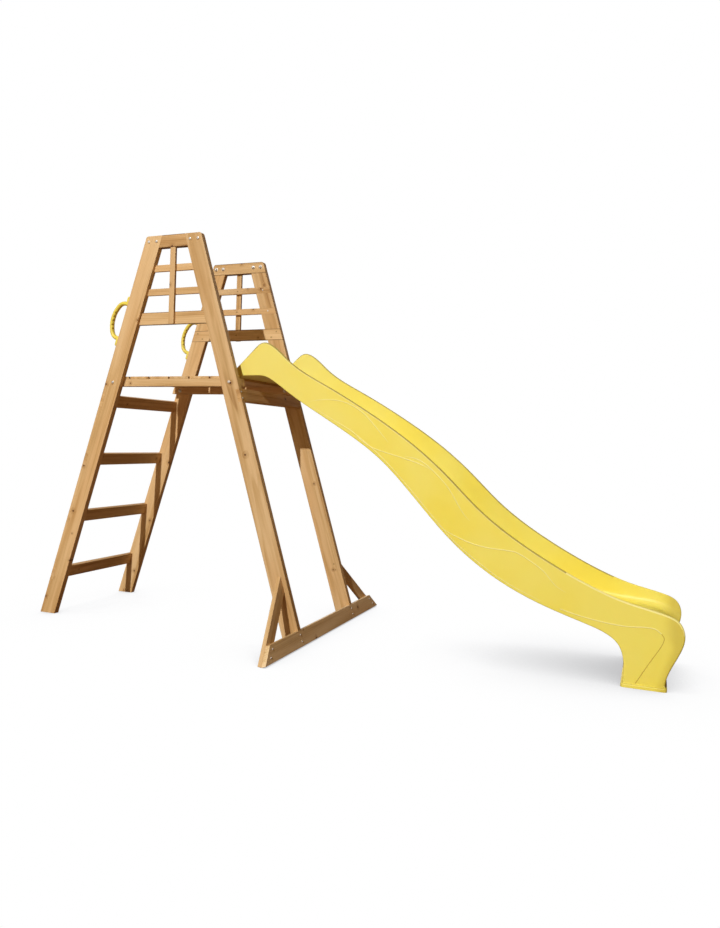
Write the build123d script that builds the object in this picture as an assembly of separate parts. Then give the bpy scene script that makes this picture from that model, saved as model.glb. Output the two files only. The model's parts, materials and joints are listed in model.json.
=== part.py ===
from build123d import *
import math
import os

# A free-standing timber slide tower: two A-frame sides, a slatted deck between them, a four-rung
# ladder on the -X side and a one-piece wave slide on the +X side.
# Everything is drawn about the middle of the A-frame, on the ground, with +X towards the slide's
# foot, and is moved at the end so that the origin is the middle of the whole object's footprint.
# Right and left are those of a child who climbs the ladder: right is -Y, left is +Y.
# All sizes are in millimetres.

# ---- A-frame -------------------------------------------------------------------------------
frame_height = 1860.0
foot_spread = 1470.0        # outer edges of one side's two legs, at the ground
top_spread = 305.0          # the same, at the top
frame_width = 622.0         # outer faces of the two sides
leg_width = 86.0
leg_thickness = 28.0
corner_radius = 14.0        # rounded outer corners at the top of each side
eased_radius = 1.5          # on the edges of every board

# ---- boards --------------------------------------------------------------------------------
board_height = 60.0         # rungs, cross rail, guard rails and top boards
board_thickness = 20.0      # rungs, cross rail, base board and braces
lap_depth = 14.0            # slats, guard rails and top boards are let this far into the legs
slat_height = 32.0
slat_middles = {"upper": 1706.0, "lower": 1593.0}
guard_rail_bottom = 1436.0
upright_width = 29.0
bearer_height = 36.0
bearer_thickness = 38.0
bearer_bottom = 1143.0

# ---- deck ----------------------------------------------------------------------------------
deck_slats = 6
deck_slat_width = 105.3
deck_slat_pitch = 113.3
deck_thickness = 12.0
deck_start = -358.5         # outer edge of the slat above the ladder

# ---- ladder, cross rail and foot, measured up the slope of the legs -------------------------
rungs = 4
first_rung = 212.0
rung_pitch = 305.0
cross_rail_middle = 1156.0
base_board_height = 70.0
brace_apex = 325.0          # where a brace's upper edge meets its leg
brace_width = 52.0
brace_angle = 46.0          # from the slope of the legs

# ---- grab handle ---------------------------------------------------------------------------
handle_middle = 1526.0      # up the slope
handle_half_span = 87.0     # from the middle to a foot of the bow
handle_stem = 16.0
handle_corner_radius = 42.0
handle_turn = 60.0          # degrees turned in each corner
grip_height = 20.0
grip_depth = 24.0
pad_middle = 103.0
pad_length = 42.0
pad_depth = 26.0
pad_height = 12.0
pad_radius = 8.0            # of its corners
pad_edge_radius = 4.5
pad_screw = 111.0
finger_notches = 5
notch_pitch = 20.0
notch_radius = 5.5
notch_bite = 5.5
first_notch = -50.0

# ---- slide: outlines seen from the side, from the middle of the A-frame ---------------------
slide_width = 454.0
slide_wall = 12.0
slide_sheet = 8.0           # under the floor, measured upright
slide_start = 262.0         # edge of the flange that lies on the deck
flange_height = 12.0
channel_radius = 34.0
wall_start = 283.0          # the walls rise from the flange here
hump = [(418.0, 1334.0), (461.0, 1350.0), (504.0, 1332.0)]
rim_points = [
    (589.0, 1261.0), (763.0, 1157.0), (980.0, 1035.0), (1200.0, 889.0), (1350.0, 762.0), (1476.0, 642.0),
    (1608.0, 543.0), (1758.0, 453.0), (1907.0, 378.0), (2060.0, 321.0), (2190.0, 290.0),
]
nose_points = [(2244.0, 263.0), (2262.0, 220.0), (2247.0, 150.0)]
toe = (2199.0, 0.0)
heel = (2043.0, 0.0)
heel_points = [(2047.0, 95.0), (2026.0, 158.0)]
keel_points = [
    (1984.0, 192.0), (1910.0, 221.0), (1724.0, 283.0), (1565.0, 357.0), (1398.0, 472.0), (1311.0, 552.0),
    (1132.0, 742.0), (1023.0, 843.0), (904.0, 926.0), (711.0, 1041.0), (596.0, 1112.0), (516.0, 1167.0),
    (470.0, 1191.0),
]
keel_start = (440.0, 1197.0)
keel_step = [(345.0, 1197.0), (332.0, 1191.0)]      # the walls' lower edges drop to the deck here
flat_floor = [160.0, 220.0, 270.0, 320.0, 370.0, 415.0]    # the floor is level through these
floor_points = [
    (516.0, 1180.0), (596.0, 1141.0), (711.0, 1071.0), (904.0, 956.0), (1023.0, 873.0), (1132.0, 772.0),
    (1311.0, 582.0), (1398.0, 502.0), (1565.0, 387.0), (1724.0, 313.0), (1910.0, 259.0), (2040.0, 242.0),
    (2130.0, 236.0), (2190.0, 221.0), (2224.0, 190.0), (2232.0, 150.0), (2220.0, 95.0), (2182.0, -20.0),
]
channel_end = 2320.0        # past the slide's foot
channel_top = 1500.0
hollow_limits = (480.0, 1965.0)             # the underside is open between these
foot_pocket = [
    (2055.0, -1.0), (2059.0, 96.0), (2042.0, 160.0), (2020.0, 190.0), (2020.0, 224.0), (2150.0, 222.0),
    (2196.0, 200.0), (2216.0, 172.0), (2219.0, 148.0), (2207.0, 95.0), (2171.0, -1.0),
]
foot_lip_reach = 5.0        # past the foot, towards -X, +X and both sides
foot_lip_height = 14.0
foot_lip_corner = 12.0
foot_lip_round = 4.0

# ---- fasteners -----------------------------------------------------------------------------
hole_clearance = 0.15       # on radius, between a fastener and its hole
bolt_radius = 4.0
bolt_head_radius = 7.0
bolt_head_height = 4.0
washer_radius = 10.0
washer_thickness = 1.6
nut_radius = 7.0
nut_height = 8.0
nut_bore_depth = 6.0
top_bolt_height = 1832.5
top_bolt_offset = 22.0      # each side of the leg's middle
screw_radius = 2.0
screw_head_radius = 4.2
screw_head_height = 2.2
countersink_depth = 2.5
point_length = 4.0
screw_pair = 15.0           # each side of a board's middle
board_screw_length = 45.0
side_screw_length = 23.0    # through a slat or rail and into the leg or upright behind it
base_screw_length = 36.0
brace_screw_length = 48.0
brace_screw_places = [265.0, 295.0]
base_brace_screws = [(555.0, 57.0), (583.0, 28.0)]
base_leg_screws = [57.0, 27.0]
deck_screw_length = 38.0
deck_screw_offset = 35.0    # each side of a deck slat's middle
slide_screw_inset = 12.0    # from the flange's edge
slide_screw_places = [55.0, 165.0]
handle_screw_length = 38.0

# ---- values worked out from the sizes above ------------------------------------------------
lean_slope = (foot_spread - top_spread) / 2 / frame_height
lean = math.atan(lean_slope)
leg_width_level = leg_width / math.cos(lean)
outer_y = frame_width / 2
inner_y = outer_y - leg_thickness
leg_middle_y = outer_y - leg_thickness / 2
lap_y = inner_y + lap_depth
top_board_bottom = frame_height - board_height
guard_rail_middle = guard_rail_bottom + board_height / 2
bearer_top = bearer_bottom + bearer_height
bearer_middle = bearer_bottom + bearer_height / 2
bearer_middle_y = inner_y - bearer_thickness / 2
deck_top = bearer_top + deck_thickness
base_board_low = board_thickness * math.tan(lean)   # its back edge then stands on the ground
brace_slope = 1 / math.tan(math.radians(brace_angle))
rung_middles = [first_rung + rung_pitch * number for number in range(rungs)]
slat_levels = {
    name: (middle - slat_height / 2, middle + slat_height / 2) for name, middle in slat_middles.items()
}
guard_rail_levels = (guard_rail_bottom, guard_rail_bottom + board_height)
let_in_levels = [*slat_levels.values(), guard_rail_levels, (top_board_bottom, frame_height)]


def edge_x(z):
    """Distance of the legs' outer edges from the middle of the A-frame at height z."""
    return foot_spread / 2 - lean_slope * z


def leg_middle_x(z):
    """Distance of the legs' middle lines from the middle of the A-frame at height z."""
    return edge_x(z) - leg_width_level / 2


def face_in_xz(outline):
    """A face in X and Z from corner points."""
    return make_face(Plane.XZ * Polyline(*outline, close=True))


def prism(face, y_low, y_high):
    """A solid from a face in X and Z, from y_low to y_high."""
    return Pos(0, y_low, 0) * extrude(face, y_high - y_low, dir=(0, 1, 0))


def eased(board):
    """A board with its edges lightly rounded."""
    return fillet(board.edges(), eased_radius)


# The plane of the outer edges of the slide-side legs: its X is along +Y, its Y runs up the slope
# of the legs from the ground, and its Z points out of the A-frame.
edge_plane = Plane(origin=(edge_x(0), 0, 0), x_dir=(0, 1, 0), z_dir=(math.cos(lean), 0, math.sin(lean)))


def edge_board(corners, front=0.0, back=-board_thickness):
    """A board parallel to the edge plane, from corners on it and between two offsets from it."""
    face = make_face(Polyline(*corners, close=True))
    return edge_plane * Pos(0, 0, back) * extrude(face, front - back, dir=(0, 0, 1))


def level_corners(middle, height, half_length):
    """The corners of a board across the legs, about a middle line on the edge plane."""
    low = middle - height / 2
    high = middle + height / 2
    return [(-half_length, low), (half_length, low), (half_length, high), (-half_length, high)]


def ladder_side(shape):
    """The mirror image of a slide-side shape on the ladder side."""
    return mirror(shape, Plane.YZ)


def left_side(shape):
    """The mirror image of a right-hand shape on the left-hand side."""
    return mirror(shape, Plane.XZ)


# ---- the two A-frame sides -------------------------------------------------------------------
def round_top_corners(shape):
    """Round the corners of a board that are the outer top corners of an A-frame side."""
    top_edges = shape.edges().filter_by(Axis.Y).group_by(Axis.Z)[-1]
    outer_edges = [edge for edge in top_edges if abs(edge.center().X) > edge_x(frame_height) - 1]
    return fillet(outer_edges, corner_radius)


def plain_leg():
    """The right-hand slide-side leg, housed for the side's level boards but not yet notched."""
    foot = edge_x(0)
    head = edge_x(frame_height)
    outline = [
        (foot - leg_width_level, 0), (foot, 0), (head, frame_height), (head - leg_width_level, frame_height)
    ]
    leg = eased(round_top_corners(prism(face_in_xz(outline), -outer_y, -inner_y)))
    return leg - [side_board(low, high) for low, high in let_in_levels]


def notch(middle, height):
    """What is cut from a leg's edge to let in a board about a middle line on the slope."""
    return edge_board(level_corners(middle, height, frame_width), front=board_thickness)


def ladder_leg():
    """The right-hand leg that carries the ends of the rungs."""
    return ladder_side(plain_leg() - [notch(middle, board_height) for middle in rung_middles])


def slide_leg():
    """The right-hand leg that carries the cross rail, the base board and a brace."""
    toe_notch = notch(0, 2 * (base_board_low + base_board_height))
    return plain_leg() - [notch(cross_rail_middle, board_height), toe_notch]


def side_board(low, high, y_low=-lap_y, y_high=-inner_y):
    """A level board across the right-hand legs, flush with their inner faces unless set otherwise."""
    outline = [(-edge_x(low), low), (edge_x(low), low), (edge_x(high), high), (-edge_x(high), high)]
    return prism(face_in_xz(outline), y_low, y_high)


def top_board():
    """The board across the tops of the right-hand legs: full thickness between them, halved over them."""
    lap = eased(round_top_corners(side_board(top_board_bottom, frame_height)))
    low = edge_x(top_board_bottom) - leg_width_level
    high = edge_x(frame_height) - leg_width_level
    outline = [(-low, top_board_bottom), (low, top_board_bottom), (high, frame_height), (-high, frame_height)]
    return lap + eased(prism(face_in_xz(outline), -outer_y, -inner_y))


def lattice_upright():
    """The slat outside the level ones, from the top board down to the foot of the guard rail."""
    half = upright_width / 2
    outline = [
        (-half, guard_rail_bottom), (half, guard_rail_bottom), (half, top_board_bottom), (-half, top_board_bottom)
    ]
    return eased(prism(face_in_xz(outline), -outer_y, -lap_y))


# ---- deck, rungs and foot --------------------------------------------------------------------
def deck_slat(middle):
    """A slat across the two bearers."""
    slat = Box(deck_slat_width, 2 * inner_y, deck_thickness)
    return eased(Pos(middle, 0, bearer_top + deck_thickness / 2) * slat)


def cross_board(middle):
    """A board let into the edges of the two slide-side legs."""
    return eased(edge_board(level_corners(middle, board_height, outer_y)))


def brace_edge_y(slope_height):
    """Distance of a brace's upper edge from the middle, at a height on the slope."""
    return outer_y + (brace_apex - slope_height) / brace_slope


def base_board():
    """The wide board across the feet, its ends level with the upper edges of the braces."""
    low = base_board_low
    high = base_board_low + base_board_height
    corners = [
        (-brace_edge_y(low), low), (brace_edge_y(low), low), (brace_edge_y(high), high), (-brace_edge_y(high), high)
    ]
    return eased(edge_board(corners))


def brace():
    """The right-hand brace, from the outer face of the leg down to the ground behind the base board."""
    shift = brace_width / math.sin(math.radians(90 - brace_angle))
    corners = [
        (-outer_y, brace_apex),
        (-outer_y, brace_apex - shift * brace_slope),
        (-brace_edge_y(0) + shift, 0),
        (-brace_edge_y(0), 0),
    ]
    board = edge_board(corners, front=-board_thickness, back=-2 * board_thickness)
    reach = 2 * foot_spread
    return eased(board - Pos(0, 0, -reach / 2) * Box(reach, reach, reach))


# ---- grab handle -----------------------------------------------------------------------------
def grab_handle():
    """The right-hand handle, drawn on the slide side's edge plane: X up the slope, Y outwards."""
    turn = math.radians(handle_turn)
    bow_radius = (handle_half_span - handle_corner_radius * (1 - math.cos(turn))) / math.cos(turn)
    stem = Line((-handle_half_span, 0), (-handle_half_span, handle_stem))
    corner = JernArc(stem @ 1, stem % 1, handle_corner_radius, -handle_turn)
    bow = JernArc(corner @ 1, corner % 1, bow_radius, 2 * handle_turn - 180)
    far_corner = JernArc(bow @ 1, bow % 1, handle_corner_radius, -handle_turn)
    far_stem = Line(far_corner @ 1, (handle_half_span, 0))
    path = Wire([stem, corner, bow, far_corner, far_stem])
    start = Plane(origin=stem @ 0, x_dir=(1, 0, 0), z_dir=(0, 1, 0))
    section = start * Ellipse(grip_height / 2, grip_depth / 2)
    grip = sweep(section, path=path)
    bow_middle = bow @ 0.5 - Vector(0, bow_radius)
    inner_radius = bow_radius - grip_height / 2
    for number in range(finger_notches):
        angle = (first_notch + notch_pitch * number) / inner_radius
        reach = inner_radius - notch_radius + notch_bite
        place = bow_middle + Vector(reach * math.sin(angle), reach * math.cos(angle))
        grip = grip - Location(place) * Cylinder(notch_radius, 2 * grip_depth)
    pad = Box(pad_length, pad_height, pad_depth)
    pad = fillet(pad.edges().filter_by(Axis.Y), pad_radius)
    pad = fillet(pad.faces().sort_by(Axis.Y)[-1].edges(), pad_edge_radius)
    for side in (-1, 1):
        grip = grip + Pos(side * pad_middle, pad_height / 2, 0) * pad
    seat = Plane(
        origin=edge_plane.from_local_coords((-leg_middle_y, handle_middle, 0)),
        x_dir=edge_plane.y_dir,
        z_dir=edge_plane.x_dir,
    )
    return seat * grip


# ---- slide -----------------------------------------------------------------------------------
def face_from_curves(curves):
    """A face in X and Z from curves that close."""
    return make_face([Plane.XZ * curve for curve in curves])


def slide_outline():
    """The side view of the slide's outside."""
    flange_top = deck_top + flange_height
    flange = Polyline(
        keel_start, *keel_step, (slide_start, deck_top), (slide_start, flange_top), (wall_start, flange_top),
        hump[0],
    )
    rim = Spline(*hump, *rim_points, *nose_points, toe)
    keel = Spline(heel, *heel_points, *keel_points, keel_start)
    return face_from_curves([flange, rim, Line(toe, heel), keel])


def floor_curve(lift=0.0):
    """The sliding surface's line, from over the deck to under the foot's front, raised by a lift."""
    points = [(x, deck_top + flange_height) for x in flat_floor] + floor_points
    return Spline(*[(x, z + lift) for x, z in points])


def above_floor():
    """The side view of everything over the sliding surface."""
    curve = floor_curve()
    first, last = curve @ 0, curve @ 1
    rest = Polyline(last, (channel_end, last.Y), (channel_end, channel_top), (first.X, channel_top), first)
    return face_from_curves([curve, rest])


def below_sheet():
    """The side view of the open underside, under the sheet of the sliding surface."""
    curve = floor_curve(-slide_sheet)
    first, last = curve @ 0, curve @ 1
    rest = Polyline(last, (first.X, last.Y), first)
    start, end = hollow_limits
    window = [(start, -1), (end, -1), (end, channel_top), (start, channel_top)]
    return face_from_curves([curve, rest]) & face_in_xz(window)


def channel(half_inside):
    """What is cut out above the sliding surface, rounded where the floor meets the walls."""
    block = prism(above_floor(), -half_inside, half_inside)
    floor_edges = block.edges().filter_by(GeomType.BSPLINE)
    return fillet(floor_edges, channel_radius)


def foot_lip():
    """The rounded lip round the bottom of the slide's foot."""
    length = toe[0] - heel[0] + 2 * foot_lip_reach
    width = slide_width + 2 * foot_lip_reach
    lip = Pos((toe[0] + heel[0]) / 2, 0, foot_lip_height / 2) * Box(length, width, foot_lip_height)
    lip = fillet(lip.edges().filter_by(Axis.Z), foot_lip_corner)
    return fillet(lip.edges().group_by(Axis.Z)[-1], foot_lip_round)


def slide():
    """The one-piece slide: a round-cornered channel, open underneath, that ends in a hollow foot."""
    half = slide_width / 2
    half_inside = half - slide_wall
    body = prism(slide_outline(), -half, half) - channel(half_inside) + foot_lip()
    body = body - prism(below_sheet(), -half_inside, half_inside)
    return body - prism(face_in_xz(foot_pocket), -half_inside, half_inside)


# ---- fastener shapes: drawn along Z, the surface under the head at Z = 0 ----------------------
def dome_head(radius, height):
    """A low domed head."""
    disc = Pos(0, 0, height / 2) * Cylinder(radius, height)
    return fillet(disc.edges().sort_by(Axis.Z)[-1], height * 0.75)


def shank(length):
    """A screw's shank, below Z = 0 and ending in a point."""
    body_length = length - point_length
    body = Pos(0, 0, -body_length / 2) * Cylinder(screw_radius, body_length)
    return body + Pos(0, 0, -length + point_length / 2) * Cone(screw_radius / 4, screw_radius, point_length)


def screw(length, countersunk):
    """A wood screw, with a domed head that stands on the wood or a flat one level with it."""
    if countersunk:
        cone = Cone(screw_radius, screw_head_radius, countersink_depth)
        return Pos(0, 0, -countersink_depth / 2) * cone + shank(length)
    return dome_head(screw_head_radius, screw_head_height) + shank(length)


def screw_hole(length, countersunk):
    """The hole that such a screw needs."""
    depth = length + 1
    hole = Pos(0, 0, -depth / 2) * Cylinder(screw_radius + hole_clearance, depth)
    if countersunk:
        cone = Cone(screw_radius + hole_clearance, screw_head_radius + hole_clearance, countersink_depth)
        hole = hole + Pos(0, 0, -countersink_depth / 2) * cone
    return hole


def bolt(grip):
    """A bolt with a domed head, long enough for this thickness of wood, a washer and a nut."""
    length = grip + washer_thickness + nut_bore_depth - 0.5
    shaft = Pos(0, 0, -length / 2) * Cylinder(bolt_radius, length)
    return dome_head(bolt_head_radius, bolt_head_height) + shaft


def washer():
    """A round washer that lies on Z = 0."""
    ring = Cylinder(washer_radius, washer_thickness) - Cylinder(bolt_radius + hole_clearance, washer_thickness)
    return Pos(0, 0, washer_thickness / 2) * ring


def cap_nut():
    """A domed nut that stands on a washer and closes the end of the bolt."""
    body = Pos(0, 0, nut_height / 2) * Cylinder(nut_radius, nut_height)
    body = fillet(body.edges().sort_by(Axis.Z)[-1], nut_height * 0.4)
    bore = Pos(0, 0, nut_bore_depth / 2) * Cylinder(bolt_radius + hole_clearance, nut_bore_depth)
    return Pos(0, 0, washer_thickness) * (body - bore)


# ---- where the fasteners sit -----------------------------------------------------------------
fasteners = {}
holes = []


def add_screws(name, seats, length, countersunk=False):
    """Put a screw at every seat and remember the holes."""
    piece = screw(length, countersunk)
    hole = screw_hole(length, countersunk)
    fasteners.setdefault(name, []).extend(seat * piece for seat in seats)
    holes.extend(seat * hole for seat in seats)


def edge_seat(y, slope_height, side=1):
    """A seat on the edge plane of the slide-side legs (side 1) or the ladder legs (side -1)."""
    spot = edge_plane.from_local_coords((y, slope_height, 0))
    outwards = edge_plane.z_dir
    return Location(Plane(
        origin=(side * spot.X, y, spot.Z),
        x_dir=(0, 1, 0),
        z_dir=(side * outwards.X, 0, outwards.Z),
    ))


def side_seat(x, depth, z, end, inwards=True):
    """A seat on the right-hand side (end -1) or the left (end 1), at a depth inside its outer face."""
    facing = -end if inwards else end
    return Location(Plane(origin=(x, end * (outer_y - depth), z), x_dir=(1, 0, 0), z_dir=(0, facing, 0)))


ends = (-1, 1)
pair = (-screw_pair, screw_pair)

add_screws("rung_screws", [
    edge_seat(end * leg_middle_y, middle + step, side=-1)
    for middle in rung_middles for end in ends for step in pair
], board_screw_length)
add_screws("cross_rail_screws", [
    edge_seat(end * leg_middle_y, cross_rail_middle + step) for end in ends for step in pair
], board_screw_length)
add_screws("base_board_screws", [
    edge_seat(end * y, height)
    for y, height in [(leg_middle_y, height) for height in base_leg_screws] + base_brace_screws
    for end in ends
], base_screw_length)
add_screws("slat_screws", [
    side_seat(side * leg_middle_x(z), leg_thickness, z, end)
    for z in slat_middles.values()
    for side in ends
    for end in ends
], side_screw_length)
add_screws("guard_rail_screws", [
    side_seat(side * (leg_middle_x(guard_rail_middle) + step), leg_thickness, guard_rail_middle + step, end)
    for side in ends
    for step in pair
    for end in ends
], side_screw_length, countersunk=True)
add_screws("upright_screws", [
    side_seat(0, leg_thickness, z, end) for z in [*slat_middles.values(), guard_rail_middle] for end in ends
], side_screw_length, countersunk=True)

brace_depth = Vector(0, 0, -1.5 * board_thickness)
brace_spots = [
    edge_plane.from_local_coords(Vector(0, height, 0) + brace_depth) for height in brace_screw_places
]
add_screws("brace_screws", [
    side_seat(spot.X, leg_thickness, spot.Z, end) for spot in brace_spots for end in ends
], brace_screw_length, countersunk=True)

slat_centres = [deck_start + deck_slat_width / 2 + deck_slat_pitch * number for number in range(deck_slats)]
add_screws("deck_screws", [
    Pos(middle + side * deck_screw_offset, end * bearer_middle_y, deck_top)
    for middle in slat_centres
    for side in ends
    for end in ends
], deck_screw_length, countersunk=True)
add_screws("slide_screws", [
    Pos(slide_start + slide_screw_inset, end * y, deck_top + flange_height)
    for y in slide_screw_places
    for end in ends
], flange_height + deck_thickness)
add_screws("handle_screws", [
    edge_seat(end * leg_middle_y, handle_middle + side * pad_screw, side=-1) * Pos(0, 0, pad_height)
    for side in ends
    for end in ends
], handle_screw_length)


def add_bolts(name, spots, grip):
    """Put a bolt, a washer and a nut at X, Z spots on both sides, each bolt from the outside in."""
    outside = [side_seat(x, 0, z, end, inwards=False) for x, z in spots for end in ends]
    inside = [side_seat(x, grip, z, end) for x, z in spots for end in ends]
    fasteners[name + "_bolts"] = [seat * bolt(grip) for seat in outside]
    fasteners[name + "_washers"] = [seat * washer() for seat in inside]
    fasteners[name + "_nuts"] = [seat * cap_nut() for seat in inside]
    hole = Pos(0, 0, -grip / 2) * Cylinder(bolt_radius + hole_clearance, grip + 2)
    holes.extend(seat * hole for seat in outside)


top_middle = leg_middle_x(top_bolt_height)
add_bolts("top", [
    (side * (top_middle + step), top_bolt_height)
    for side in ends for step in (-top_bolt_offset, top_bolt_offset)
], leg_thickness)
add_bolts("bearer", [
    (side * leg_middle_x(bearer_middle), bearer_middle) for side in ends
], leg_thickness + bearer_thickness)


# ---- all the pieces --------------------------------------------------------------------------
def boxes_meet(box, other):
    """True where two bounding boxes overlap."""
    return (
        box.min.X < other.max.X and other.min.X < box.max.X
        and box.min.Y < other.max.Y and other.min.Y < box.max.Y
        and box.min.Z < other.max.Z and other.min.Z < box.max.Z
    )


def drilled(shape):
    """A piece with the holes that reach it cut out."""
    box = shape.bounding_box()
    reaching = [hole for hole in holes if boxes_meet(box, hole.bounding_box())]
    return shape - reaching if reaching else shape


parts = {
    "cross_rail": cross_board(cross_rail_middle),
    "base_board": base_board(),
    "slide": slide(),
}
right_hand = {
    "leg_ladder": ladder_leg(),
    "leg_slide": slide_leg(),
    "top_board": top_board(),
    "guard_rail": eased(side_board(*guard_rail_levels)),
    "lattice_upright": lattice_upright(),
    "bearer": eased(side_board(bearer_bottom, bearer_top, -inner_y, -inner_y + bearer_thickness)),
    "brace": brace(),
    "grab_handle": ladder_side(grab_handle()),
}
for name, levels in slat_levels.items():
    right_hand["lattice_slat_" + name] = eased(side_board(*levels))
for name, shape in right_hand.items():
    parts[name + "_right"] = shape
    parts[name + "_left"] = left_side(shape)
for number, middle in enumerate(rung_middles, start=1):
    parts[f"rung_{number}"] = ladder_side(cross_board(middle))
for number, middle in enumerate(slat_centres, start=1):
    parts[f"deck_slat_{number}"] = deck_slat(middle)
parts = {name: drilled(shape) for name, shape in parts.items()}
parts.update({name: Compound(children=shapes) for name, shapes in fasteners.items()})

# ---- move the origin to the middle of the footprint and write one file for each part ----------
boxes = [shape.bounding_box() for shape in parts.values()]
centre_x = (min(box.min.X for box in boxes) + max(box.max.X for box in boxes)) / 2
os.makedirs("parts", exist_ok=True)
for name, shape in parts.items():
    export_step(Pos(-centre_x, 0, 0) * shape, f"parts/{name}.step")
print(f"{len(parts)} parts, footprint centre at {centre_x:.3f} mm from the middle of the A-frame")
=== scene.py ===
import json
import math

import bmesh
import bpy
from mathutils import Matrix, Vector


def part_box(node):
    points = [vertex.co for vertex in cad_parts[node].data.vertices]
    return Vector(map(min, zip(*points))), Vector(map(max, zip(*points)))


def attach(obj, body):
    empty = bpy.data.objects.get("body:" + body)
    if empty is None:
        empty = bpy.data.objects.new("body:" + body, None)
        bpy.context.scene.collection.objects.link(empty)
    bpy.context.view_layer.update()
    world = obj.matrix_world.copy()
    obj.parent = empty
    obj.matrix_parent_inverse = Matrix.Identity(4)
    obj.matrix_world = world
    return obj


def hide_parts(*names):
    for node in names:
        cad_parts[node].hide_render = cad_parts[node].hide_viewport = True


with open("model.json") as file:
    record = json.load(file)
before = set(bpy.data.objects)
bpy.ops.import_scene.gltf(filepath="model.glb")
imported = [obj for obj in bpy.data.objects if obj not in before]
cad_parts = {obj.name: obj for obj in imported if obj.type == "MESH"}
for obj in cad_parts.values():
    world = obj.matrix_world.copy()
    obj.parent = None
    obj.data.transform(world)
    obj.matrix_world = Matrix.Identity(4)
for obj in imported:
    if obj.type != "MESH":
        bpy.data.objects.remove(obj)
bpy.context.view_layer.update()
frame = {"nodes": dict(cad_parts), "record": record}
NODES = frame["nodes"]


def box(node):
    """Lowest and highest corner of a CAD node."""
    low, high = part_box(node)
    return Vector(low), Vector(high)


# The middle of the A-frame, which the lines on the slide and the camera are measured from.
post_low, post_high = box("lattice_upright_right")
MIDDLE_X = (post_low.x + post_high.x) / 2
leg_low, leg_high = box("leg_ladder_right")
LEG_WIDTH = 0.0901          # measured level, so a little more than across the leg
LEAN = math.atan((leg_high.x - leg_low.x - LEG_WIDTH) / leg_high.z)


# ---- shader helpers ---------------------------------------------------------------------------
def new_material(name):
    """An empty node material and its output socket."""
    material = bpy.data.materials.new(name)
    material.use_nodes = True
    tree = material.node_tree
    tree.nodes.clear()
    output = tree.nodes.new("ShaderNodeOutputMaterial")
    return material, tree, output.inputs["Surface"]


def node(tree, kind, inputs=None, **settings):
    """Add a node, set its properties, and set or link its inputs."""
    made = tree.nodes.new(kind)
    for key, value in settings.items():
        setattr(made, key, value)
    for key, value in (inputs or {}).items():
        socket = made.inputs[key]
        if isinstance(value, bpy.types.NodeSocket):
            tree.links.new(value, socket)
        else:
            socket.default_value = value
    return made


def maths(tree, operation, *values, clamp=False):
    """A math node's result."""
    made = tree.nodes.new("ShaderNodeMath")
    made.operation = operation
    made.use_clamp = clamp
    for number, value in enumerate(values):
        if isinstance(value, bpy.types.NodeSocket):
            tree.links.new(value, made.inputs[number])
        else:
            made.inputs[number].default_value = value
    return made.outputs[0]


def ramp(tree, value, stops):
    """A colour ramp over positions and colours."""
    made = node(tree, "ShaderNodeValToRGB", {"Fac": value})
    elements = made.color_ramp.elements
    while len(elements) < len(stops):
        elements.new(0.5)
    for element, (position, colour) in zip(elements, stops):
        element.position = position
        element.color = (*colour, 1)
    return made.outputs["Color"]


def mix(tree, factor, first, second, blend="MIX"):
    """A colour mix."""
    made = tree.nodes.new("ShaderNodeMix")
    made.data_type = "RGBA"
    made.blend_type = blend
    for socket, value in ((made.inputs[0], factor), (made.inputs[6], first), (made.inputs[7], second)):
        if isinstance(value, bpy.types.NodeSocket):
            tree.links.new(value, socket)
        elif isinstance(value, tuple):
            socket.default_value = (*value, 1)
        else:
            socket.default_value = value
    return made.outputs[2]


def noise(tree, place, scale, detail=2.0, roughness=0.5):
    """A noise texture's value."""
    return node(tree, "ShaderNodeTexNoise",
                {"Vector": place, "Scale": scale, "Detail": detail, "Roughness": roughness}).outputs[0]


def stretched(tree, place, scale):
    """Coordinates scaled differently along each axis."""
    return node(tree, "ShaderNodeMapping", {"Vector": place, "Scale": scale}).outputs[0]


def hypotenuse(tree, first, second):
    """The distance that two offsets at right angles make."""
    squares = [maths(tree, "MULTIPLY", value, value) for value in (first, second)]
    return maths(tree, "SQRT", maths(tree, "ADD", *squares))


def step(tree, value, low, high):
    """A smooth step between two values."""
    made = node(tree, "ShaderNodeMapRange", {"Value": value, "From Min": low, "From Max": high},
                interpolation_type="SMOOTHSTEP")
    return made.outputs["Result"]


# ---- materials --------------------------------------------------------------------------------
NOSE_X, NOSE_Z, NOSE_RADIUS = 2.160, 0.160, 0.072   # the slide's nose, from the middle of the A-frame
RING_PITCH = 0.0075
PALE = (0.81, 0.575, 0.31)
MID = (0.645, 0.42, 0.185)
DARK = (0.36, 0.18, 0.055)
KNOT = (0.10, 0.035, 0.01)


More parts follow.
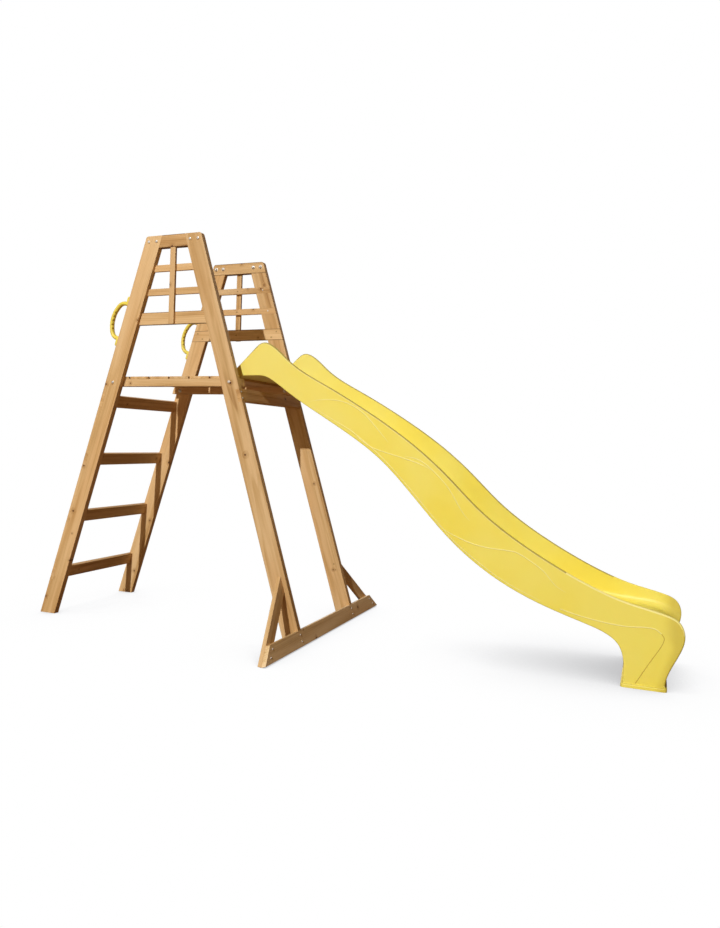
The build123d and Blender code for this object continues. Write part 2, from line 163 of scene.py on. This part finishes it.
def timber(name, along, through, seed, joints, tint):
    """Stained softwood with its grain along a board, and knots that push the lines aside."""
    material, tree, surface = new_material(name)
    along = Vector(along).normalized()
    through = Vector(through).normalized()
    across = through.cross(along)
    turn = Matrix((along, across, through)).to_euler("XYZ")
    place = node(tree, "ShaderNodeTexCoord").outputs["Object"]
    shift = (1.37 * seed % 5.0, 0.83 * seed % 3.0, 0.41 * seed % 2.0)
    local = node(tree, "ShaderNodeMapping", {"Vector": place, "Rotation": turn, "Location": shift}).outputs[0]

    # knots: a few cells of a flat cell pattern across the board's face
    parts = node(tree, "ShaderNodeSeparateXYZ", {0: local})
    u, v, w = parts.outputs
    face = node(tree, "ShaderNodeCombineXYZ", {0: u, 1: v, 2: 0.0}).outputs[0]
    cells = node(tree, "ShaderNodeTexVoronoi", {"Vector": face, "Scale": 9.0, "Randomness": 1.0},
                 voronoi_dimensions="2D")
    chance = node(tree, "ShaderNodeSeparateColor", {0: cells.outputs["Color"]})
    is_knot = maths(tree, "GREATER_THAN", chance.outputs[0], 0.54)
    size = maths(tree, "MULTIPLY_ADD", chance.outputs[1], 0.035, 0.022)
    wobble = noise(tree, face, 160.0)
    reach = maths(tree, "MULTIPLY_ADD", wobble, 0.02, cells.outputs["Distance"])
    closeness = maths(tree, "DIVIDE", reach, size)
    heart = maths(tree, "MULTIPLY", step(tree, closeness, 1.25, 0.75), is_knot)
    halo = maths(tree, "MULTIPLY", step(tree, closeness, 4.5, 0.8), is_knot)

    # growth lines: rings round a pith outside the board, pushed aside by the knots
    slow = stretched(tree, local, (0.9, 7.0, 7.0))
    sway = noise(tree, slow, 1.0, 3.0, 0.45)
    push = maths(tree, "MULTIPLY_ADD", halo, 0.012, maths(tree, "MULTIPLY_ADD", sway, 0.05, -0.025))
    pith_v = 0.05 + 0.013 * (seed % 7)
    pith_w = 0.03 + 0.009 * (seed % 5)
    from_v = maths(tree, "ADD", maths(tree, "ADD", v, pith_v - shift[1]), push)
    from_w = maths(tree, "ADD", maths(tree, "ADD", w, pith_w - shift[2]), maths(tree, "MULTIPLY", push, 0.6))
    radius = hypotenuse(tree, from_v, from_w)
    rings = maths(tree, "FRACT", maths(tree, "MULTIPLY", radius, 1 / RING_PITCH))
    line = maths(tree, "POWER", rings, 2.2)
    # the sharp end of each ring is softened
    line = maths(tree, "MULTIPLY", line, step(tree, rings, 1.0, 0.9))

    # fine fibres, streaks and broad bands, all long along the grain
    fibre = noise(tree, stretched(tree, local, (12.0, 900.0, 900.0)), 1.0, 3.0, 0.6)
    streak = noise(tree, stretched(tree, local, (2.2, 55.0, 55.0)), 1.0, 4.0, 0.55)
    patch = noise(tree, slow, 1.6)
    broad = noise(tree, stretched(tree, local, (1.4, 24.0, 24.0)), 1.0, 3.0, 0.5)
    streak_tone = maths(tree, "MULTIPLY_ADD", streak, 1.1, -0.55)
    broad_tone = maths(tree, "MULTIPLY_ADD", broad, 2.3, -1.15)
    streaks = maths(tree, "ADD", streak_tone, broad_tone)
    tone = maths(tree, "ADD", maths(tree, "MULTIPLY_ADD", line, 0.40, 0.12), streaks, clamp=True)
    colour = ramp(tree, tone, [(0.0, PALE), (0.5, MID), (1.0, DARK)])
    warm = mix(tree, step(tree, patch, 0.35, 0.7), (1.0, 1.0, 1.0), (0.90, 0.82, 0.72))
    colour = mix(tree, 1.0, colour, warm, "MULTIPLY")
    colour = mix(tree, maths(tree, "MULTIPLY", step(tree, fibre, 0.45, 0.8), 0.30), colour, DARK)
    colour = mix(tree, maths(tree, "MULTIPLY", halo, 0.5), colour, DARK)
    colour = mix(tree, heart, colour, KNOT)
    colour = mix(tree, 1.0, colour, tint, "MULTIPLY")
    # a dark joint along the lower and upper edge of a board that is let into the legs
    if joints:
        level = node(tree, "ShaderNodeSeparateXYZ", {0: place}).outputs[2]
        above_low = maths(tree, "SUBTRACT", level, joints[0])
        below_high = maths(tree, "SUBTRACT", joints[1], level)
        inside = maths(tree, "MINIMUM", above_low, below_high)
        colour = mix(tree, maths(tree, "MULTIPLY", step(tree, inside, 0.0038, 0.0014), 0.75), colour, KNOT)

    rough = maths(tree, "MULTIPLY_ADD", streak, 0.22, 0.42)
    height = maths(tree, "ADD", maths(tree, "MULTIPLY", line, -0.5), maths(tree, "MULTIPLY", fibre, 0.5))
    bump = node(tree, "ShaderNodeBump", {"Height": height, "Strength": 0.16, "Distance": 0.0006}).outputs[0]
    shader = node(tree, "ShaderNodeBsdfPrincipled",
                  {"Base Color": colour, "Roughness": rough, "Normal": bump, "Specular IOR Level": 0.35})
    tree.links.new(shader.outputs[0], surface)
    return material


def slide_shading(tree, place, colour):
    """Paler plastic towards the top of the slide, a painted sheen, and painted shade in a darker band along
    the nose and the foot's front, as a rounded edge would turn from the light.
    """
    x, _, z = node(tree, "ShaderNodeSeparateXYZ", {0: place}).outputs
    # painted sheen: paler and less saturated towards the top of the slide
    high = step(tree, x, MIDDLE_X + 1.10, MIDDLE_X + 0.35)
    colour = mix(tree, maths(tree, "MULTIPLY", high, 0.40), colour, (0.86, 0.79, 0.30))
    # painted shade: darker bands along the nose and the foot's front, standing in for rounded edges turning
    # away from the light
    ahead = maths(tree, "SUBTRACT", x, MIDDLE_X + NOSE_X)
    above = maths(tree, "SUBTRACT", z, NOSE_Z)
    on_nose = maths(tree, "SUBTRACT", hypotenuse(tree, ahead, above), NOSE_RADIUS)
    along_front = maths(tree, "MULTIPLY_ADD", ahead, 0.95, maths(tree, "MULTIPLY", above, -0.30))
    on_foot = maths(tree, "SUBTRACT", along_front, NOSE_RADIUS)
    nose_end = step(tree, x, MIDDLE_X + 2.175, MIDDLE_X + 2.235)
    nose_painted_shade = maths(tree, "MULTIPLY", step(tree, on_nose, -0.034, 0.004), nose_end)
    foot_end = step(tree, x, MIDDLE_X + 2.08, MIDDLE_X + 2.18)
    foot_painted_shade = maths(tree, "MULTIPLY", step(tree, on_foot, -0.034, 0.004), foot_end)
    upper = step(tree, above, -0.03, 0.03)
    front = node(tree, "ShaderNodeMix", {0: upper, 2: foot_painted_shade, 3: nose_painted_shade}).outputs[0]
    return mix(tree, maths(tree, "MULTIPLY", front, 0.42), colour, (0.50, 0.39, 0.05))


def plastic(name, base, deep, roughness, grain, shading=None):
    """Moulded polyethylene: slightly uneven colour and gloss, and a faint orange-peel surface."""
    material, tree, surface = new_material(name)
    place = node(tree, "ShaderNodeTexCoord").outputs["Object"]
    broad = noise(tree, place, 3.0, 3.0)
    fine = noise(tree, place, grain)
    scuff = noise(tree, stretched(tree, place, (6.0, 40.0, 6.0)), 6.0, 6.0, 0.7)
    colour = mix(tree, step(tree, broad, 0.35, 0.7), base, deep)
    pale = tuple(min(1.0, channel * 1.12) for channel in base)
    colour = mix(tree, maths(tree, "MULTIPLY", step(tree, scuff, 0.55, 0.8), 0.35), colour, pale)
    if shading:
        colour = shading(tree, place, colour)
    rough = maths(tree, "MULTIPLY_ADD", scuff, 0.22, roughness - 0.1)
    bump = node(tree, "ShaderNodeBump", {"Height": fine, "Strength": 0.08, "Distance": 0.0008}).outputs[0]
    shader = node(tree, "ShaderNodeBsdfPrincipled", {
        "Base Color": colour, "Roughness": rough, "Normal": bump, "Specular IOR Level": 0.45,
        "Subsurface Weight": 0.12, "Subsurface Radius": (0.012, 0.009, 0.003), "Subsurface Scale": 1.0,
    })
    tree.links.new(shader.outputs[0], surface)
    return material


def plated(name, dark, bright, metallic):
    """Plated steel with a faint spangle."""
    material, tree, surface = new_material(name)
    place = node(tree, "ShaderNodeTexCoord").outputs["Object"]
    spangle = node(tree, "ShaderNodeTexVoronoi", {"Vector": place, "Scale": 500.0}).outputs["Distance"]
    cloud = noise(tree, place, 180.0, 4.0)
    tone = maths(tree, "MULTIPLY_ADD", spangle, 0.35, maths(tree, "MULTIPLY", cloud, 0.6))
    colour = ramp(tree, tone, [(0.15, dark), (0.8, bright)])
    rough = maths(tree, "MULTIPLY_ADD", cloud, 0.25, 0.3)
    shader = node(tree, "ShaderNodeBsdfPrincipled",
                  {"Base Color": colour, "Roughness": rough, "Metallic": metallic})
    tree.links.new(shader.outputs[0], surface)
    return material


# ---- timber on every board, grain along it ----------------------------------------------------
sin_lean, cos_lean = math.sin(LEAN), math.cos(LEAN)
UP_SLIDE = (-sin_lean, 0, cos_lean)
UP_LADDER = (sin_lean, 0, cos_lean)
OUT_SLIDE = (cos_lean, 0, sin_lean)
OUT_LADDER = (-cos_lean, 0, sin_lean)
ALONG_X, ALONG_Y, ALONG_Z = (1, 0, 0), (0, 1, 0), (0, 0, 1)
BRACE_RISE = math.radians(44.0)


def board_directions(name):
    """The directions along and through a board."""
    if name.startswith("leg_ladder"):
        return UP_LADDER, ALONG_Y
    if name.startswith("leg_slide"):
        return UP_SLIDE, ALONG_Y
    if name.startswith("rung"):
        return ALONG_Y, OUT_LADDER
    if name in ("cross_rail", "base_board"):
        return ALONG_Y, OUT_SLIDE
    if name.startswith("deck_slat"):
        return ALONG_Y, ALONG_Z
    if name.startswith("lattice_upright"):
        return ALONG_Z, ALONG_Y
    if name.startswith("brace"):
        side = -1 if name.endswith("right") else 1
        level = Vector(ALONG_Y) * side * math.cos(BRACE_RISE)
        return level - Vector(UP_SLIDE) * math.sin(BRACE_RISE), OUT_SLIDE
    return ALONG_X, ALONG_Y


slot_of = {part["node"]: part["material_slot"] for part in frame["record"]["subparts"]}
steel = plated("bright_zinc", (0.70, 0.71, 0.72), (0.92, 0.92, 0.91), 0.7)
brassy = plated("yellow_zinc", (0.40, 0.26, 0.10), (0.55, 0.38, 0.17), 0.7)
FLUSH_SCREWS = ("guard_rail_screws", "upright_screws", "brace_screws", "deck_screws")
slide_yellow = plastic("slide_yellow", (0.94, 0.835, 0.165), (0.93, 0.795, 0.105), 0.42, 900.0, slide_shading)
handle_yellow = plastic("handle_yellow", (0.94, 0.80, 0.15), (0.90, 0.75, 0.11), 0.40, 700.0)
for seed, (name, part) in enumerate(sorted(NODES.items()), start=1):
    kind = slot_of[name]
    if kind == "timber":
        along, through = board_directions(name)
        edges = None
        if name.startswith(("slat_", "guard_rail", "top_board")):
            low, high = box(name)
            edges = (low.z, high.z)
        shade = 0.90 + 0.022 * (seed * 5 % 7)
        # painted light: the base board's tint is paler and less saturated, standing in for light thrown up
        # onto it from the floor; the other boards' tints vary at random
        tint = (1.20, 1.32, 1.50) if name == "base_board" else (shade, shade * 0.995, shade * 0.985)
        chosen = timber("timber_" + name, along, through, seed, edges, tint)
    else:
        chosen = {"steel": steel, "slide_plastic": slide_yellow, "handle_plastic": handle_yellow}[kind]
        if name in FLUSH_SCREWS:
            chosen = brassy
    part.data.materials.clear()
    part.data.materials.append(chosen)

# ---- the slide as it is seen: rounded rims, raised wave lines and the lines of a foot panel, with painted shade and painted highlight ---
WALL = 0.227
INNER_WALL = 0.215
RIM_ROUND = 0.007
INNER_ROUND = 0.0045
RIM_START = 0.285
RIM_SHADE_END = 1.85
LIP_TOP = 0.016
EDGE_ROUND = 0.004
CORNER = math.radians(40)   # edges that turn less than this are left as they are

# The wall lines: spacing of their points in millimetres, points across, and how deep their sides are sunk.
LINE_SPACING = 6.0
RIDGE_POINTS = 7
RIDGE_SUNK = 0.0006


def on_wall(vert):
    """True for a vertex in the plane of an outer side wall."""
    return abs(abs(vert.co.y) - WALL) < 1e-4


def rounded_slide(shell_material, rim_shade_material, crest_highlight_material):
    """The CAD slide with its rims rounded over and its other edges eased; the rims' rounded faces get painted
    shade and painted highlight.
    """
    source = NODES["slide"]
    mesh = source.data.copy()
    mesh.materials.clear()
    for material in (shell_material, rim_shade_material, crest_highlight_material):
        mesh.materials.append(material)
    shell = bpy.data.objects.new("slide_shell", mesh)
    bpy.context.collection.objects.link(shell)
    shell.matrix_world = source.matrix_world.copy()
    work = bmesh.new()
    work.from_mesh(mesh)
    work.transform(shell.matrix_world)
    bmesh.ops.remove_doubles(work, verts=work.verts, dist=1e-6)
    bmesh.ops.dissolve_limit(work, angle_limit=math.radians(0.3), verts=work.verts, edges=work.edges)
    for face in work.faces:
        face.material_index = 0
    work.normal_update()
    inner = []
    for edge in work.edges:
        if not (edge.is_manifold and all(abs(abs(vert.co.y) - INNER_WALL) < 1e-4 for vert in edge.verts)):
            continue
        top = min(edge.link_faces, key=lambda face: abs(face.normal.y)).normal
        start = min(vert.co.x for vert in edge.verts) > MIDDLE_X + RIM_START + 0.05
        if start and edge.calc_face_angle_signed(0) > CORNER and (top.z > 0.2 or top.x > 0.5):
            inner.append(edge)
    made = bmesh.ops.bevel(
        work, geom=inner, offset=INNER_ROUND, segments=4, profile=0.5, affect="EDGES", clamp_overlap=False
    )
    work.normal_update()
    # painted shade: the inner rims' rounded faces take the dark rim material, up to the end of the painted
    # rim shade
    for face in made["faces"]:
        if face.calc_center_median().x < MIDDLE_X + RIM_SHADE_END + 0.15:
            face.material_index = 1
    for upper in (True, False):
        chosen = []
        for edge in work.edges:
            if not (edge.is_manifold and all(on_wall(vert) for vert in edge.verts)):
                continue
            if edge.calc_face_angle(0) < CORNER:
                continue
            outward = min(edge.link_faces, key=lambda face: abs(face.normal.y)).normal
            middle = (edge.verts[0].co + edge.verts[1].co) / 2
            faces_out = outward.z > 0.2 or outward.x > 0.5
            raised = middle.x > MIDDLE_X + RIM_START and faces_out and middle.z > LIP_TOP
            if raised == upper:
                chosen.append(edge)
        size, steps = (RIM_ROUND, 6) if upper else (EDGE_ROUND, 3)
        made = bmesh.ops.bevel(
            work, geom=chosen, offset=size, segments=steps, profile=0.5, affect="EDGES", clamp_overlap=False
        )
        work.normal_update()
        # up-facing faces of the outer rims' rounding: painted shade on their tops, painted highlight on their
        # sides and past the end of the painted rim shade
        if upper:
            for face in made["faces"]:
                dark = abs(face.normal.y) < 0.94 and face.calc_center_median().x < MIDDLE_X + RIM_SHADE_END
                if face.normal.z > 0.05:
                    face.material_index = 1 if dark else 2
    work.normal_update()
    work.to_mesh(mesh)
    work.free()
    shell.matrix_world = Matrix()
    mesh.shade_smooth()
    mesh.set_sharp_from_angle(angle=math.radians(32))
    weighted = shell.modifiers.new("flat_walls", "WEIGHTED_NORMAL")
    weighted.keep_sharp = True
    return shell


def smooth_line(points, spacing):
    """Points about as far apart as the spacing, on a smooth line through the given ones, in X and Z."""
    padded = [points[0], *points, points[-1]]
    line = []
    for before, start, end, after in zip(padded, padded[1:], padded[2:], padded[3:]):
        length = math.dist(start, end)
        steps = max(2, round(length / spacing))
        for number in range(steps):
            t = number / steps
            line.append(tuple(
                0.5 * (2 * b + (c - a) * t
                       + (2 * a - 5 * b + 4 * c - d) * t**2
                       + (3 * b - a - 3 * c + d) * t**3)
                for a, b, c, d in zip(before, start, end, after)
            ))
    line.append(tuple(points[-1]))
    return line


def wall_ridge(name, points, side, width, height, material, tapered=True):
    """A low raised line on one outer wall of the slide, fading out at both ends."""
    line = [Vector((MIDDLE_X + x / 1000, 0, z / 1000)) for x, z in smooth_line(points, LINE_SPACING)]
    lengths = [0.0]
    for first, second in zip(line, line[1:]):
        lengths.append(lengths[-1] + (second - first).length)
    total = lengths[-1]
    verts = []
    faces = []
    profile = RIDGE_POINTS
    for number, spot in enumerate(line):
        ahead = line[min(number + 1, len(line) - 1)] - line[max(number - 1, 0)]
        across = Vector((-ahead.z, 0, ahead.x)).normalized()
        end_distance = min(lengths[number], total - lengths[number])
        fade = min(1.0, end_distance / (0.22 * total)) ** 0.6 if tapered else 1.0
        for turn in range(profile):
            angle = math.pi * turn / (profile - 1)
            out = height * fade * math.sin(angle) - RIDGE_SUNK
            sideways = across * (width / 2 * max(fade, 0.05) * math.cos(angle))
            verts.append(spot + sideways + Vector((0, side * (WALL + out), 0)))
        if number:
            base = (number - 1) * profile
            for turn in range(profile - 1):
                ring = (base + turn, base + turn + 1, base + profile + turn + 1, base + profile + turn)
                faces.append(ring if side < 0 else ring[::-1])
    mesh = bpy.data.meshes.new(name)
    mesh.from_pydata(verts, [], faces)
    mesh.shade_smooth()
    mesh.materials.append(material)
    ridge = bpy.data.objects.new(name, mesh)
    bpy.context.collection.objects.link(ridge)
    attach(ridge, "root")
    return ridge


# Lines on the side walls, in millimetres from the middle of the A-frame and up from the ground.
WAVES = [
    [(678, 1077), (770, 1088), (863, 1078), (949, 1035), (1020, 965), (1087, 891)],
    [(880, 977), (938, 921), (995, 884), (1056, 864), (1156, 837), (1225, 815), (1285, 787)],
    [(1129, 849), (1190, 842), (1236, 823), (1295, 775), (1347, 719), (1409, 623), (1452, 581)],
    [(1269, 598), (1320, 556), (1378, 526), (1450, 500), (1521, 487), (1590, 483), (1643, 473), (1735, 417),
     (1790, 359), (1852, 326)],
]
FOOT_LINE = [(1808, 270), (1890, 250), (1977, 236), (2057, 230), (2120, 234), (2158, 231), (2180, 216)]
FOOT_GROOVE = [(2180, 216), (2190, 198), (2178, 165), (2144, 109), (2116, 61), (2092, 19)]
LIP_LINE = [(650, 1092), (711, 1056), (811, 1000), (904, 949), (1023, 860), (1132, 758), (1311, 568),
            (1398, 484), (1565, 370), (1724, 298), (1808, 272)]

# painted shade: a dark olive copy of the slide plastic for the rims' rounded faces
rim_painted_shade = plastic("slide_rim_painted_shade", (0.50, 0.41, 0.08), (0.46, 0.37, 0.065), 0.5, 900.0)
# painted highlight: a paler copy of the slide plastic for the rims' rounded sides and the raised lines
crest_painted_highlight = plastic("slide_crest_painted_highlight", (0.97, 0.89, 0.32), (0.95, 0.86, 0.27), 0.42, 900.0)
# painted shade: a darker copy of the slide plastic for the foot groove
groove_painted_shade = plastic("slide_groove_painted_shade", (0.62, 0.47, 0.06), (0.58, 0.43, 0.05), 0.5, 900.0)
shell = rounded_slide(slide_yellow, rim_painted_shade, crest_painted_highlight)
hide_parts("slide")
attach(shell, "root")
# the wave, foot and lip lines are drawn in the painted highlight, the foot groove in painted shade
for side, label in ((-1, "right"), (1, "left")):
    for number, wave in enumerate(WAVES, start=1):
        wall_ridge(f"slide_wave_{number}_{label}", wave, side, 0.0050, 0.0018, crest_painted_highlight)
    wall_ridge("slide_foot_line_" + label, FOOT_LINE, side, 0.0050, 0.0018, crest_painted_highlight, tapered=False)
    wall_ridge("slide_foot_groove_" + label, FOOT_GROOVE, side, 0.0042, 0.0009, groove_painted_shade, tapered=False)
    wall_ridge("slide_lip_line_" + label, LIP_LINE, side, 0.0045, 0.0016, crest_painted_highlight)

# ---- stage ------------------------------------------------------------------------------------
bpy.ops.mesh.primitive_circle_add(vertices=96, radius=60, fill_type="NGON", location=(0, 0, 0))
floor = bpy.context.object
floor.name = "floor"
material, tree, surface = new_material("floor_paper")
# the floor seen by the camera glows white, with painted shadow from ambient occlusion where the object is
# near it; other rays see a dull diffuse floor
near = node(tree, "ShaderNodeAmbientOcclusion", {"Distance": 0.55}, samples=8)
painted_contact_shadow = [(0.0, (0.42, 0.42, 0.43)), (0.75, (0.965, 0.965, 0.97)), (0.93, (1.0, 1.0, 1.0))]
tone = ramp(tree, near.outputs["AO"], painted_contact_shadow)
glow = node(tree, "ShaderNodeEmission", {"Color": tone, "Strength": 1.0})
dull = node(tree, "ShaderNodeBsdfDiffuse", {"Color": (0.30, 0.20, 0.125, 1.0)})
seen = node(tree, "ShaderNodeLightPath").outputs["Is Camera Ray"]
blend = node(tree, "ShaderNodeMixShader", {0: seen, 1: dull.outputs[0], 2: glow.outputs[0]})
tree.links.new(blend.outputs[0], surface)
floor.data.materials.append(material)

world = bpy.data.worlds.new("studio")
bpy.context.scene.world = world
world.use_nodes = True
tree = world.node_tree
background = tree.nodes["Background"]
seen = node(tree, "ShaderNodeLightPath").outputs["Is Camera Ray"]
tree.links.new(mix(tree, seen, (0.088, 0.043, 0.021), (1.0, 1.0, 1.0)), background.inputs["Color"])

# one small far lamp, which throws crisp shadows, and two large soft panels
lamp_data = bpy.data.lights.new("key", "POINT")
lamp_data.energy = 15500.0
lamp_data.shadow_soft_size = 0.16
lamp_data.color = (1.0, 0.985, 0.95)
lamp = bpy.data.objects.new("key", lamp_data)
bpy.context.collection.objects.link(lamp)
lamp.location = (MIDDLE_X - 0.15, -18.1, 13.06)


def soft_panel(name, power, colour, place, turn):
    """A large soft lamp; turn is its tilt up from straight down and its heading."""
    data = bpy.data.lights.new(name, "AREA")
    data.energy = power
    data.size = 5.0
    data.color = colour
    panel = bpy.data.objects.new(name, data)
    bpy.context.collection.objects.link(panel)
    panel.location = place
    panel.rotation_euler = (math.radians(turn[0]), 0.0, math.radians(turn[1]))


soft_panel("fill", 80.0, (1.0, 0.80, 0.48), (MIDDLE_X - 0.2, -8.0, 2.4), (80.0, -4.0))
soft_panel("back", 230.0, (1.0, 0.95, 0.88), (MIDDLE_X - 1.5, 8.0, 3.5), (75.0, 185.0))
bpy.context.scene.view_settings.view_transform = "Standard"

# ---- camera -----------------------------------------------------------------------------------
VIEW_YAW = 0.37392
VIEW_PITCH = 0.00694
VIEW_ROLL = 0.02853
LEVEL_ANGLE = math.radians(51.306)
CENTRE_SHIFT = -0.0377778   # the picture's middle lies below the lens axis, by this share of its width
CAMERA_PLACE = Vector((MIDDLE_X + 2.13643, -3.26881, 0.90406))
forward = Vector((
    -math.sin(VIEW_YAW) * math.cos(VIEW_PITCH),
    math.cos(VIEW_YAW) * math.cos(VIEW_PITCH),
    math.sin(VIEW_PITCH),
))
level_right = forward.cross(Vector((0, 0, 1))).normalized()
level_up = level_right.cross(forward)
right = level_right * math.cos(VIEW_ROLL) + level_up * math.sin(VIEW_ROLL)
up = level_up * math.cos(VIEW_ROLL) - level_right * math.sin(VIEW_ROLL)
camera_data = bpy.data.cameras.new("view")
camera = bpy.data.objects.new("view", camera_data)
bpy.context.collection.objects.link(camera)
camera_data.sensor_fit = "HORIZONTAL"
camera_data.angle = LEVEL_ANGLE
camera_data.shift_y = CENTRE_SHIFT
camera.matrix_world = Matrix.Translation(CAMERA_PLACE) @ Matrix((right, up, -forward)).transposed().to_4x4()
bpy.context.scene.camera = camera
